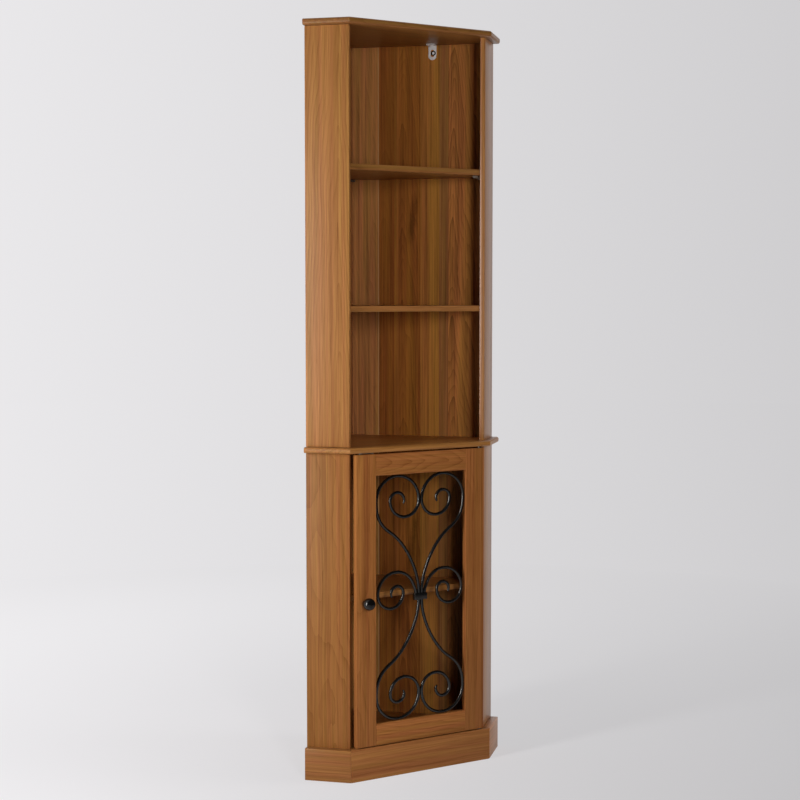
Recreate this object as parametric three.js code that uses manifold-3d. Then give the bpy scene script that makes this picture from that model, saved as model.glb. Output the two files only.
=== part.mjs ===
// Corner cupboard: open shelves above, a cupboard with a framed door below, for a room corner.
// Millimetres, +Z up. The front faces -Y and the rear corner of the room lies behind, on +Y.
import * as THREE from 'three';
import { mergeVertices } from 'three/addons/utils/BufferGeometryUtils.js';
import Module from 'manifold-3d';

const wasm = await Module();
wasm.setup();

// Plan of the carcase
const frontWidth = 387.4;
const sideDepth = 108.45;
const sideThickness = 12;

// Heights above the floor
const totalHeight = 1820;
const waistTopZ = 808;
const lowerShelfTopZ = 441;
const openBays = 3;
const plinthHeight = 78.3;

// Boards that lie flat
const topThickness = 15;
const topOverhang = 17;
const waistThickness = 14;
const waistOverhang = 17.7;
const noseRadius = 5.5;
const shelfThickness = 14;
const floorThickness = 14;
const lowerShelfSetback = 55;

// Plinth boards round the foot of the side boards
const plinthThickness = 18.2;

// Back sheets stand in grooves in front of the wall, with a corner post behind them
const sheetThickness = 3;
const sheetOffset = 12;
const grooveDepth = 4;
const postLegWidth = 30;

// Clearances
const seatGap = 0.3;
const pivotClearance = 0.25;
const doorBackGap = 0.5;
const doorTopGap = 3.4;
const doorBottomGap = 3.1;
const catchGap = 0.6;

// Door frame
const doorSideInset = 10.5;
const doorThickness = 15;
const stileWidth = 53.7;
const railHeight = 52.2;
const frameDowelRadius = 4;
const frameDowelLength = 40;

// Wrought scrolls in the door opening
const rodRadius = 4;
const spiralTurnShares = [1, 0.673, 0.328, 0.171];
const spiralTailAngle = 0.87;
const waveBendXShare = 0.602;
const waveBendRiseShare = 0.648;
const waveBendAngle = 0.673;
const waveStartPullShare = 0.242;
const waveUpperPullShare = 0.174;
const waveLowerPullShare = 0.356;
const waveEndPullShare = 0.231;
const curlFootDrop = 8;
const curlFootPull = 9;
const curlEntryPull = 8;
const curlEntryAngle = 2.705;
const curlRise = 11;
const curlMiddleXShare = 0.5475;
const curlRadiusShare = 0.416;
const curlTurnShares = [0.693, 0.333, 0.286];
const curlTailAngle = 0.66;
const collarHeight = 16.2;
const collarWall = 1.2;
const collarDrop = 1.6;
const rodPinRadius = 1.2;
const rodPinInRod = 2;
const rodPinInStile = 10;

// Door knob and its screw
const knobRadius = 15;
const knobInset = 23.7;
const knobCentreZ = 433;
const knobReach = 18.5;
const knobStemRadius = 6;
const knobBoreDepth = 12;
const screwRadius = 2;
const screwHeadRadius = 4;
const screwHeadHeight = 2.2;

// Pivot pins and bushes of the door
const pinRadius = 2.5;
const pinInBoard = 10;
const pinInDoor = 12;
const pinFlangeRadius = 6;
const hingeInset = 9.2;
const bushWall = 1.6;
const bushLength = 14;

// Magnetic catch under the waist board, and its plate on the door
const catchWidth = 40;
const catchDepth = 14;
const catchHeight = 10;
const catchFromDoorEdge = 38.2;
const catchCorner = 2;
const magnetWidth = 26;
const magnetDepth = 5;
const magnetHeight = 5;
const plateWidth = 24;
const plateHeight = 9;
const plateThickness = 1.2;
const plateTopDrop = 1;

// Wall bracket under the top board
const bracketWidth = 20.8;
const bracketThickness = 2;
const bracketDrop = 37;
const bracketReach = 32;
const bracketFromCorner = 228.5;
const bracketSlotRadius = 4.6;
const bracketSlotLength = 18;
const bracketSlotDrop = 20;
const bracketScrewInBoard = 9;
const bracketScrewReach = 20;

// Shelf supports: a peg in a bore, and a half-round head with a flat top under the shelf
const pegRadius = 2.5;
const pegInBoard = 8;
const pegHeadRadius = 5.75;
const pegHeadStart = 9;
const pegHeadLength = 12;
const pegFrontInset = 22;
const pegRearInset = 28.45;
const lowerPegRearInset = 30.45;
const rearPegFromCorner = 22;

// Dowels that hold the fixed middle shelf
const shelfDowelRadius = 3;
const shelfDowelInBoard = 7;
const shelfDowelInShelf = 16;
const shelfDowelFrontInset = 25;
const shelfDowelRearInset = 33.45;

// Fineness of round forms, and how far a cutter runs past the face it cuts
const roundSides = 16;
const rodSides = 8;
const rodSteps = 132;
const curlSteps = 42;
const noseSteps = 3;
const ballSteps = 10;
const cutOverrun = 20;

// Sizes that follow from the ones above
const diagonal = Math.SQRT1_2;
const halfWidth = frontWidth / 2;
const wallLength = frontWidth * diagonal + sideDepth;
const rearCornerY = halfWidth + sideDepth / diagonal;
const innerFrontY = sideThickness * diagonal;
const sheetInner = sheetOffset + sheetThickness;
const topUnderZ = totalHeight - topThickness;
const waistUnderZ = waistTopZ - waistThickness;
const bayHeight = (topUnderZ - waistTopZ - (openBays - 1) * shelfThickness) / openBays;
const middleShelfTopZ = waistTopZ + bayHeight + shelfThickness;
const upperShelfTopZ = middleShelfTopZ + bayHeight + shelfThickness;
const doorWidth = frontWidth - doorSideInset * 2;
const doorBackY = -doorBackGap;
const doorFrontY = doorBackY - doorThickness;
const doorBottomZ = plinthHeight + doorBottomGap;
const doorTopZ = waistUnderZ - doorTopGap;
const doorMiddleY = (doorFrontY + doorBackY) / 2;
const doorMiddleZ = (doorBottomZ + doorTopZ) / 2;
const openingHalfWidth = doorWidth / 2 - stileWidth;
const openingHalfHeight = (doorTopZ - doorBottomZ) / 2 - railHeight;
const rodInnerX = rodRadius + seatGap / 2;
const rodOuterX = openingHalfWidth - seatGap - rodRadius;
const curlFootX = rodInnerX * 3;
const spiralRadius = (rodOuterX - rodInnerX) / 2;
const spiralRise = openingHalfHeight - seatGap - rodRadius - spiralRadius;
const hingeX = doorWidth / 2 - hingeInset;
const catchCentreX = -doorWidth / 2 + catchFromDoorEdge;
const knobCentreY = doorFrontY - knobReach;
const plinthOuter = plinthThickness + seatGap;

const up = new THREE.Vector3(0, 0, 1);

// Materials
const makeMaterial = (color, roughness, metalness) =>
  new THREE.MeshStandardMaterial({ color, roughness, metalness });
const wood = makeMaterial(0xa06a34, 0.45, 0);
const doorWood = makeMaterial(0x9c6430, 0.42, 0);
const backWood = makeMaterial(0x8a5a2a, 0.55, 0);
const hiddenWood = makeMaterial(0xc9a878, 0.7, 0);
const blackIron = makeMaterial(0x17181a, 0.35, 0.6);
const zinc = makeMaterial(0xb8bcc0, 0.35, 0.9);
const steel = makeMaterial(0xa8abae, 0.3, 1);
const brassTone = makeMaterial(0xb08d4a, 0.35, 1);
const whitePlastic = makeMaterial(0xdedad0, 0.4, 0);
const beigePlastic = makeMaterial(0x9a9080, 0.45, 0);

// A closed geometry as a solid that can be joined and cut
const toSolid = geometry => {
  const bare = geometry.clone();
  bare.deleteAttribute('normal');
  bare.deleteAttribute('uv');
  const merged = mergeVertices(bare);
  return new wasm.Manifold(new wasm.Mesh({
    numProp: 3,
    vertProperties: Float32Array.from(merged.attributes.position.array),
    triVerts: Uint32Array.from(merged.index.array),
  }));
};

const toGeometry = solid => {
  const mesh = solid.getMesh();
  const geometry = new THREE.BufferGeometry();
  geometry.setAttribute('position', new THREE.BufferAttribute(mesh.vertProperties, mesh.numProp));
  geometry.setIndex(new THREE.BufferAttribute(mesh.triVerts, 1));
  const faceted = geometry.toNonIndexed();
  faceted.computeVertexNormals();
  return faceted;
};

// The blank geometry with every cutter taken away
const cutFrom = (blank, cutters) => {
  let solid = toSolid(blank);
  for (const cutter of cutters) {
    solid = solid.subtract(toSolid(cutter));
  }
  return toGeometry(solid);
};

// Plan points: beside a side board, and out from the two walls
const besideBoard = (side, along, out) => new THREE.Vector2(
  side * (halfWidth + (along + out) * diagonal),
  (along - out) * diagonal,
);
const fromWalls = (fromLeft, fromRight) => new THREE.Vector2(
  (fromLeft - fromRight) * diagonal,
  rearCornerY - (fromLeft + fromRight) * diagonal,
);
const frontCorner = (side, out) => new THREE.Vector2(
  side * (halfWidth + out * (Math.SQRT2 - 1)),
  -out,
);
const mirrored = points => points.map(point => new THREE.Vector2(-point.x, point.y)).reverse();
const forSide = (side, points) => (side < 0 ? mirrored(points) : points);

// An upright prism over a plan outline
const prism = (points, lowZ, highZ) => {
  const geometry = new THREE.ExtrudeGeometry(new THREE.Shape(points), {
    depth: highZ - lowZ,
    bevelEnabled: false,
  });
  geometry.translate(0, 0, lowZ);
  return geometry;
};

const box = (low, high) => {
  const size = new THREE.Vector3().subVectors(high, low);
  const middle = new THREE.Vector3().addVectors(high, low).multiplyScalar(0.5);
  const geometry = new THREE.BoxGeometry(size.x, size.y, size.z);
  geometry.translate(middle.x, middle.y, middle.z);
  return geometry;
};

// A round bar between two points
const bar = (start, end, radius, sides = roundSides) => {
  const direction = new THREE.Vector3().subVectors(end, start);
  const middle = new THREE.Vector3().addVectors(start, end).multiplyScalar(0.5);
  const geometry = new THREE.CylinderGeometry(radius, radius, direction.length(), sides);
  const turn = new THREE.Quaternion().setFromUnitVectors(
    new THREE.Vector3(0, 1, 0),
    direction.clone().normalize(),
  );
  geometry.applyQuaternion(turn);
  geometry.translate(middle.x, middle.y, middle.z);
  return geometry;
};

// A flat outline whose own y is up and which is extruded in a level direction
const facing = (geometry, origin, direction) => {
  const across = new THREE.Vector3().crossVectors(up, direction);
  const frame = new THREE.Matrix4().makeBasis(across, up, direction);
  frame.setPosition(origin);
  geometry.applyMatrix4(frame);
  return geometry;
};

const raised = (plan, z) => new THREE.Vector3(plan.x, plan.y, z);

const cupboard = new THREE.Group();
const add = (name, geometry, material) => {
  const mesh = new THREE.Mesh(geometry, material);
  mesh.name = name;
  cupboard.add(mesh);
};

// Plan outlines of the carcase
const roomReach = wallLength + cutOverrun * 2;
const roomPlan = [
  fromWalls(0, 0),
  fromWalls(0, roomReach),
  new THREE.Vector2(-roomReach, -roomReach),
  new THREE.Vector2(roomReach, -roomReach),
  fromWalls(roomReach, 0),
];
const overhangPlan = out => [
  fromWalls(-cutOverrun, -cutOverrun),
  fromWalls(-cutOverrun, wallLength + out),
  frontCorner(-1, out),
  frontCorner(1, out),
  fromWalls(wallLength + out, -cutOverrun),
];

// Right back sheet's plan, widened on all sides; the left sheet runs on into the corner
const sheetPlan = (side, widen) => {
  const start = side < 0 ? sheetOffset : sheetInner + seatGap;
  const end = wallLength - sideThickness + grooveDepth - seatGap;
  const near = sheetOffset - widen;
  const far = sheetInner + widen;
  return forSide(side, [
    fromWalls(start - widen, near),
    fromWalls(start - widen, far),
    fromWalls(end + widen, far),
    fromWalls(end + widen, near),
  ]);
};
const sheetGrooves = (lowZ, highZ) => [-1, 1].map(side => prism(sheetPlan(side, seatGap), lowZ, highZ));

// A board with a rounded nose along its front and sides, sawn off square at the walls
const nosedBoard = (out, lowZ, highZ, cutters) => {
  const blank = new THREE.ExtrudeGeometry(new THREE.Shape(overhangPlan(out)), {
    depth: highZ - lowZ - noseRadius * 2,
    bevelThickness: noseRadius,
    bevelSize: noseRadius,
    bevelOffset: -noseRadius,
    bevelSegments: noseSteps,
  });
  blank.translate(0, 0, lowZ + noseRadius);
  const room = prism(roomPlan, lowZ - cutOverrun, highZ + cutOverrun);
  const sawn = toGeometry(toSolid(blank).intersect(toSolid(room)));
  return cutFrom(sawn, cutters);
};

// Right side board with a groove for the back sheet near the wall
const grooveBack = sideDepth - sheetOffset + seatGap;
const grooveFront = sideDepth - sheetInner - seatGap;
const grooveFloor = grooveDepth - sideThickness;
const sidePlan = [
  besideBoard(1, 0, 0),
  besideBoard(1, sideDepth, 0),
  besideBoard(1, sideDepth, -sideThickness),
  besideBoard(1, grooveBack, -sideThickness),
  besideBoard(1, grooveBack, grooveFloor),
  besideBoard(1, grooveFront, grooveFloor),
  besideBoard(1, grooveFront, -sideThickness),
  besideBoard(1, 0, -sideThickness),
];

// Shelf outlines between the side boards and the back sheets
const shelfPlan = frontY => {
  const inset = sideThickness + seatGap;
  const back = sheetInner + seatGap;
  const frontAlong = frontY / diagonal - inset;
  return [
    besideBoard(-1, frontAlong, -inset),
    besideBoard(1, frontAlong, -inset),
    fromWalls(wallLength - inset, back),
    fromWalls(back, back),
    fromWalls(back, wallLength - inset),
  ];
};

// Direction from a side board's inner face into the cupboard
const inward = side => new THREE.Vector3(-side * diagonal, diagonal, 0);
const offRightWall = new THREE.Vector3(-diagonal, -diagonal, 0);

// Place of a peg: where its axis meets the inner face, and its way out of that face
const pegInSide = (side, along, shelfUnderZ) => ({
  face: raised(besideBoard(side, along, -sideThickness), shelfUnderZ - seatGap - pegRadius),
  direction: inward(side),
});
const pegInCorner = shelfUnderZ => ({
  face: raised(fromWalls(rearPegFromCorner, sheetInner), shelfUnderZ - seatGap - pegRadius),
  direction: offRightWall,
});

const alongFrom = (place, distance) => place.face.clone().addScaledVector(place.direction, distance);
const pegBore = ({ place }) => bar(
  alongFrom(place, -pegInBoard - seatGap),
  alongFrom(place, pegHeadStart),
  pegRadius + seatGap,
);
const shelfSupport = place => {
  const peg = bar(alongFrom(place, -pegInBoard), alongFrom(place, pegHeadStart + pegRadius), pegRadius);
  const outline = new THREE.Shape();
  outline.absarc(0, 0, pegHeadRadius, Math.PI, Math.PI * 2, false);
  const head = new THREE.ExtrudeGeometry(outline, {
    depth: pegHeadLength,
    bevelEnabled: false,
    curveSegments: roundSides / 4,
  });
  const headStart = alongFrom(place, pegHeadStart);
  headStart.z += pegRadius;
  return toGeometry(toSolid(peg).add(toSolid(facing(head, headStart, place.direction))));
};

const upperShelfUnderZ = upperShelfTopZ - shelfThickness;
const lowerShelfUnderZ = lowerShelfTopZ - shelfThickness;
const sideName = side => (side < 0 ? 'left' : 'right');
const upperPegAlongs = [pegFrontInset, sideDepth - pegRearInset];
const shelfDowelAlongs = [shelfDowelFrontInset, sideDepth - shelfDowelRearInset];

const upperPegs = [-1, 1].flatMap(side => upperPegAlongs.map((along, index) => ({
  name: `upper_support_${sideName(side)}_${index + 1}`,
  side,
  place: pegInSide(side, along, upperShelfUnderZ),
})));
const lowerPegs = [-1, 1].map(side => ({
  name: `lower_support_${sideName(side)}`,
  side,
  place: pegInSide(side, sideDepth - lowerPegRearInset, lowerShelfUnderZ),
}));
const upperRearPeg = { name: 'upper_support_rear', place: pegInCorner(upperShelfUnderZ) };
const lowerRearPeg = { name: 'lower_support_rear', place: pegInCorner(lowerShelfUnderZ) };

// Dowels of the middle shelf, level with the middle of its thickness
const middleDowelZ = middleShelfTopZ - shelfThickness / 2;
const shelfDowels = [-1, 1].flatMap(side => shelfDowelAlongs.map((along, index) => ({
  name: `middle_dowel_${sideName(side)}_${index + 1}`,
  side,
  place: {
    face: raised(besideBoard(side, along, -sideThickness), middleDowelZ),
    direction: inward(side),
  },
})));
const shelfDowelBore = ({ place }) => bar(
  alongFrom(place, -shelfDowelInBoard - seatGap),
  alongFrom(place, shelfDowelInShelf + seatGap),
  shelfDowelRadius + seatGap,
);

// Side boards and back sheets, above and below the waist board
const boresOn = (side, pieces, bore) => pieces.filter(piece => piece.side === side).map(bore);
const addSide = (name, side, lowZ, highZ, bores) => {
  const blank = prism(forSide(side, sidePlan), lowZ, highZ);
  add(name, cutFrom(blank, bores), wood);
};
for (const side of [-1, 1]) {
  addSide(`upper_${sideName(side)}_side`, side, waistTopZ + seatGap, topUnderZ - seatGap, [
    ...boresOn(side, upperPegs, pegBore),
    ...boresOn(side, shelfDowels, shelfDowelBore),
  ]);
  addSide(
    `lower_${sideName(side)}_side`,
    side,
    0,
    waistUnderZ - seatGap,
    boresOn(side, lowerPegs, pegBore),
  );
}

const addSheets = (level, boardBelowZ, boardAboveZ, rearPeg) => {
  const sunk = grooveDepth - seatGap;
  for (const side of [-1, 1]) {
    const blank = prism(sheetPlan(side, 0), boardBelowZ - sunk, boardAboveZ + sunk);
    const bores = side > 0 ? [pegBore(rearPeg)] : [];
    add(`${level}_${sideName(side)}_back`, cutFrom(blank, bores), backWood);
  }
};
addSheets('upper', waistTopZ, topUnderZ, upperRearPeg);
addSheets('lower', plinthHeight, waistUnderZ, lowerRearPeg);

// Corner posts of L section behind the sheets; the lower one is the cupboard's rear foot
const postPlan = (wallPlane, widen) => {
  const leg = sheetOffset - seatGap + widen;
  const width = postLegWidth + widen;
  return [
    fromWalls(wallPlane, wallPlane),
    fromWalls(wallPlane, width),
    fromWalls(leg, width),
    fromWalls(leg, leg),
    fromWalls(width, leg),
    fromWalls(width, wallPlane),
  ];
};
const addPost = (level, lowZ, highZ, rearPeg) => {
  const blank = prism(postPlan(0, 0), lowZ, highZ);
  add(`${level}_corner_post`, cutFrom(blank, [pegBore(rearPeg)]), hiddenWood);
};
addPost('upper', waistTopZ + seatGap, topUnderZ - seatGap, upperRearPeg);
addPost('lower', 0, waistUnderZ - seatGap, lowerRearPeg);

// Top board, with a bore for the bracket's screw
const bracketScrewPlan = fromWalls(bracketFromCorner, sheetInner + seatGap + bracketScrewReach);
const bracketUnderZ = topUnderZ - seatGap - bracketThickness;
const bracketScrewBore = bar(
  raised(bracketScrewPlan, bracketUnderZ - cutOverrun),
  raised(bracketScrewPlan, topUnderZ + bracketScrewInBoard + seatGap),
  screwRadius + seatGap,
);
add('top_board', nosedBoard(topOverhang, topUnderZ, totalHeight, [
  ...sheetGrooves(topUnderZ - cutOverrun, topUnderZ + grooveDepth),
  bracketScrewBore,
]), wood);

// Waist board, with a bore for the upper pivot pin
const hingePlan = new THREE.Vector2(hingeX, doorMiddleY);
const pinBore = (lowZ, highZ) => bar(
  raised(hingePlan, lowZ),
  raised(hingePlan, highZ),
  pinRadius + pivotClearance,
);
add('waist_board', nosedBoard(waistOverhang, waistUnderZ, waistTopZ, [
  ...sheetGrooves(waistTopZ - grooveDepth, waistTopZ + cutOverrun),
  ...sheetGrooves(waistUnderZ - cutOverrun, waistUnderZ + grooveDepth),
  pinBore(waistUnderZ - cutOverrun, waistUnderZ + pinInBoard + seatGap),
]), wood);

// Floor board, level with the plinth and filling the space out to the slanted board ends, with
// grooves for the sheets and a notch for the lower post
const floorPlan = [
  new THREE.Vector2(-halfWidth + seatGap / diagonal, 0),
  new THREE.Vector2(halfWidth - seatGap / diagonal, 0),
  besideBoard(1, -seatGap, -sideThickness - seatGap),
  fromWalls(wallLength - sideThickness - seatGap, 0),
  fromWalls(0, 0),
  fromWalls(0, wallLength - sideThickness - seatGap),
  besideBoard(-1, -seatGap, -sideThickness - seatGap),
];
add('floor_board', cutFrom(
  prism(floorPlan, plinthHeight - floorThickness, plinthHeight),
  [
    ...sheetGrooves(plinthHeight - grooveDepth, plinthHeight + cutOverrun),
    prism(postPlan(-cutOverrun, seatGap), 0, plinthHeight + cutOverrun),
  ],
), wood);

// Shelves
add('upper_shelf', prism(shelfPlan(innerFrontY), upperShelfUnderZ, upperShelfTopZ), wood);
add('middle_shelf', cutFrom(
  prism(shelfPlan(innerFrontY), middleShelfTopZ - shelfThickness, middleShelfTopZ),
  shelfDowels.map(shelfDowelBore),
), wood);
add('lower_shelf', prism(shelfPlan(lowerShelfSetback), lowerShelfUnderZ, lowerShelfTopZ), wood);

for (const { name, place } of [...upperPegs, upperRearPeg, ...lowerPegs, lowerRearPeg]) {
  add(name, shelfSupport(place), whitePlastic);
}
for (const { name, place } of shelfDowels) {
  const start = alongFrom(place, -shelfDowelInBoard);
  const end = alongFrom(place, shelfDowelInShelf);
  add(name, bar(start, end, shelfDowelRadius), hiddenWood);
}

// Plinth: a front board and two side boards, mitred at the front corners
const mitreShift = new THREE.Vector2(seatGap, 0);
const plinthFrontPlan = [
  frontCorner(-1, plinthOuter).add(mitreShift),
  frontCorner(1, plinthOuter).sub(mitreShift),
  frontCorner(1, seatGap).sub(mitreShift),
  frontCorner(-1, seatGap).add(mitreShift),
];
const plinthSidePlan = [
  frontCorner(1, plinthOuter),
  besideBoard(1, sideDepth, plinthOuter),
  besideBoard(1, sideDepth, seatGap),
  frontCorner(1, seatGap),
];
add('plinth_front', cutFrom(
  prism(plinthFrontPlan, 0, plinthHeight),
  [pinBore(plinthHeight - pinInBoard - seatGap, plinthHeight + cutOverrun)],
), wood);
for (const side of [-1, 1]) {
  add(`plinth_${sideName(side)}`, prism(forSide(side, plinthSidePlan), 0, plinthHeight), wood);
}

// Pivot pins with a flange that keeps the door off the boards
const pivotPin = (doorGap, turn) => {
  const flangeEnd = doorGap - seatGap;
  const profile = [
    new THREE.Vector2(0, -pinInBoard),
    new THREE.Vector2(pinRadius, -pinInBoard),
    new THREE.Vector2(pinRadius, seatGap),
    new THREE.Vector2(pinFlangeRadius, seatGap),
    new THREE.Vector2(pinFlangeRadius, flangeEnd),
    new THREE.Vector2(pinRadius, flangeEnd),
    new THREE.Vector2(pinRadius, doorGap + pinInDoor),
    new THREE.Vector2(0, doorGap + pinInDoor),
  ];
  const geometry = new THREE.LatheGeometry(profile, roundSides);
  geometry.rotateX(turn);
  return geometry;
};
const bottomPin = pivotPin(doorBottomGap, Math.PI / 2);
bottomPin.translate(hingeX, doorMiddleY, plinthHeight);
add('hinge_pin_bottom', bottomPin, steel);
const topPin = pivotPin(doorTopGap, -Math.PI / 2);
topPin.translate(hingeX, doorMiddleY, waistUnderZ);
add('hinge_pin_top', topPin, steel);

// Bushes pressed into the ends of the right stile
const bushOuter = pinRadius + pivotClearance + bushWall;
const bush = lowZ => {
  const profile = [
    new THREE.Vector2(pinRadius + pivotClearance, 0),
    new THREE.Vector2(bushOuter, 0),
    new THREE.Vector2(bushOuter, bushLength),
    new THREE.Vector2(pinRadius + pivotClearance, bushLength),
    new THREE.Vector2(pinRadius + pivotClearance, 0),
  ];
  const geometry = new THREE.LatheGeometry(profile, roundSides);
  geometry.rotateX(Math.PI / 2);
  geometry.translate(hingeX, doorMiddleY, lowZ);
  return geometry;
};
const bushBore = (lowZ, highZ) => bar(
  raised(hingePlan, lowZ),
  raised(hingePlan, highZ),
  bushOuter + seatGap,
);
add('hinge_bush_bottom', bush(doorBottomZ), brassTone);
add('hinge_bush_top', bush(doorTopZ - bushLength), brassTone);

// Door frame: upright stiles from top to bottom, with the rails between them on dowels
const rails = [
  { name: 'top', lowZ: doorTopZ - railHeight },
  { name: 'bottom', lowZ: doorBottomZ },
];
const frameDowels = [-1, 1].flatMap(side => rails.map(({ name, lowZ }) => {
  const z = lowZ + railHeight / 2;
  const nearX = openingHalfWidth - frameDowelLength / 2;
  const farX = openingHalfWidth + frameDowelLength / 2;
  return {
    name: `door_dowel_${name}_${sideName(side)}`,
    side,
    rail: name,
    start: new THREE.Vector3(side * nearX, doorMiddleY, z),
    end: new THREE.Vector3(side * farX, doorMiddleY, z),
  };
}));
const stretched = (start, end, extra) => {
  const direction = new THREE.Vector3().subVectors(end, start).normalize().multiplyScalar(extra);
  return [start.clone().sub(direction), end.clone().add(direction)];
};
const frameDowelBore = ({ start, end }) => bar(
  ...stretched(start, end, seatGap),
  frameDowelRadius + seatGap,
);

// Pins that hold the scrolls to the stiles, at the outermost point of each spiral
const rodPins = [-1, 1].flatMap(side => [1, -1].map(rise => {
  const z = doorMiddleZ + rise * spiralRise;
  const tipX = openingHalfWidth + rodPinInStile;
  const footX = rodOuterX + rodRadius - rodPinInRod;
  return {
    name: `scroll_pin_${rise > 0 ? 'top' : 'bottom'}_${sideName(side)}`,
    side,
    start: new THREE.Vector3(side * footX, doorMiddleY, z),
    end: new THREE.Vector3(side * tipX, doorMiddleY, z),
  };
}));
const rodPinBore = ({ start, end }) => bar(
  ...stretched(start, end, seatGap),
  rodPinRadius + seatGap,
);

const knobX = -doorWidth / 2 + knobInset;
const knobScrewBore = bar(
  new THREE.Vector3(knobX, doorFrontY - cutOverrun, knobCentreZ),
  new THREE.Vector3(knobX, doorBackY + cutOverrun, knobCentreZ),
  screwRadius + seatGap,
);
const stileBores = side => [
  ...boresOn(side, frameDowels, frameDowelBore),
  ...boresOn(side, rodPins, rodPinBore),
  ...(side < 0 ? [knobScrewBore] : [
    bushBore(doorBottomZ - cutOverrun, doorBottomZ + bushLength + seatGap),
    bushBore(doorTopZ - bushLength - seatGap, doorTopZ + cutOverrun),
  ]),
];
for (const side of [-1, 1]) {
  const blank = box(
    new THREE.Vector3(Math.min(side * openingHalfWidth, side * doorWidth / 2), doorFrontY, doorBottomZ),
    new THREE.Vector3(Math.max(side * openingHalfWidth, side * doorWidth / 2), doorBackY, doorTopZ),
  );
  add(`door_${sideName(side)}_stile`, cutFrom(blank, stileBores(side)), doorWood);
}
for (const { name, lowZ } of rails) {
  const blank = box(
    new THREE.Vector3(-openingHalfWidth + seatGap, doorFrontY, lowZ),
    new THREE.Vector3(openingHalfWidth - seatGap, doorBackY, lowZ + railHeight),
  );
  const bores = frameDowels.filter(dowel => dowel.rail === name).map(frameDowelBore);
  add(`door_${name}_rail`, cutFrom(blank, bores), doorWood);
}
for (const { name, start, end } of frameDowels) {
  add(name, bar(start, end, frameDowelRadius), hiddenWood);
}
for (const { name, start, end } of rodPins) {
  add(name, bar(start, end, rodPinRadius, rodSides), steel);
}

// A rod's centre line, drawn flat as its distance out from the door's middle and its rise above it.
// A repeated line has the same half again upside down below.
class RodLine extends THREE.Curve {
  constructor(half, side, repeated) {
    super();
    this.half = half;
    this.side = side;
    this.repeated = repeated;
    this.arcLengthDivisions = rodSteps * 4;
  }

  getPoint(t, target = new THREE.Vector3()) {
    const share = this.repeated ? Math.min(2 * t, 2 - 2 * t) : t;
    const upright = this.repeated && t > 0.5 ? -1 : 1;
    const point = this.half.getPoint(share);
    return target.set(this.side * point.x, doorMiddleY, doorMiddleZ + upright * point.y);
  }
}

// Half turns that wind inwards from the outermost point, with a short last one. The spin is 1 when
// the first turn goes over the top and -1 when it goes under.
const windIn = (outerX, rise, radii, spin, tailAngle) => {
  let startX = outerX;
  return radii.map((radius, index) => {
    const towards = index % 2 === 0 ? -1 : 1;
    const centreX = startX + towards * radius;
    const sweep = index === radii.length - 1 ? tailAngle : Math.PI;
    const from = spin * Math.PI * index;
    startX = centreX + towards * radius;
    return { centreX, rise, radius, from, to: from + spin * sweep };
  });
};

// Main rod from the spiral's inner end: spiral, wave down to the middle, straight in the collar
const mainHalf = () => {
  const path = new THREE.CurvePath();
  const radii = spiralTurnShares.map(share => share * spiralRadius);
  const turns = windIn(rodOuterX, spiralRise, radii, 1, spiralTailAngle);
  turns.reverse().forEach(({ centreX, rise, radius, from, to }) => {
    path.add(new THREE.EllipseCurve(centreX, rise, radius, radius, to, from, true));
  });
  const bend = new THREE.Vector2(waveBendXShare * rodOuterX, waveBendRiseShare * spiralRise);
  const bendWay = new THREE.Vector2(-Math.cos(waveBendAngle), -Math.sin(waveBendAngle));
  const straightRise = collarHeight / 2;
  path.add(new THREE.CubicBezierCurve(
    new THREE.Vector2(rodOuterX, spiralRise),
    new THREE.Vector2(rodOuterX, spiralRise * (1 - waveStartPullShare)),
    bend.clone().addScaledVector(bendWay, -waveUpperPullShare * rodOuterX),
    bend,
  ));
  path.add(new THREE.CubicBezierCurve(
    bend,
    bend.clone().addScaledVector(bendWay, waveLowerPullShare * rodOuterX),
    new THREE.Vector2(rodInnerX, straightRise + waveEndPullShare * spiralRise),
    new THREE.Vector2(rodInnerX, straightRise),
  ));
  path.add(new THREE.LineCurve(
    new THREE.Vector2(rodInnerX, straightRise),
    new THREE.Vector2(rodInnerX, 0),
  ));
  return path;
};

// Side curl from its foot in the collar: up and over, then round inside itself
const curlHalf = () => {
  const path = new THREE.CurvePath();
  const radius = curlRadiusShare * rodOuterX;
  const middle = new THREE.Vector2(curlMiddleXShare * rodOuterX, curlRise);
  const leave = new THREE.Vector2(curlFootX, collarHeight / 2 - collarDrop);
  const outwards = new THREE.Vector2(Math.cos(curlEntryAngle), Math.sin(curlEntryAngle));
  const entry = middle.clone().addScaledVector(outwards, radius);
  const entryWay = new THREE.Vector2(outwards.y, -outwards.x);
  path.add(new THREE.LineCurve(new THREE.Vector2(curlFootX, -curlFootDrop), leave));
  path.add(new THREE.CubicBezierCurve(
    leave,
    new THREE.Vector2(leave.x, leave.y + curlFootPull),
    entry.clone().addScaledVector(entryWay, -curlEntryPull),
    entry,
  ));
  path.add(new THREE.EllipseCurve(middle.x, middle.y, radius, radius, curlEntryAngle, 0, true));
  const radii = curlTurnShares.map(share => share * radius);
  windIn(middle.x + radius, middle.y, radii, -1, curlTailAngle).forEach(turn => {
    path.add(new THREE.EllipseCurve(
      turn.centreX, turn.rise, turn.radius, turn.radius, turn.from, turn.to, true,
    ));
  });
  return path;
};

const rodSection = new THREE.Shape();
rodSection.absarc(0, 0, rodRadius, 0, Math.PI * 2, false);
const rod = (line, steps) => new THREE.ExtrudeGeometry(rodSection, {
  steps,
  extrudePath: line,
  curveSegments: rodSides / 2,
});
for (const side of [-1, 1]) {
  const main = rod(new RodLine(mainHalf(), side, true), rodSteps);
  add(`scroll_${sideName(side)}`, cutFrom(main, boresOn(side, rodPins, rodPinBore)), blackIron);
  add(`side_curl_${sideName(side)}`, rod(new RodLine(curlHalf(), side, false), curlSteps), blackIron);
}

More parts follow.
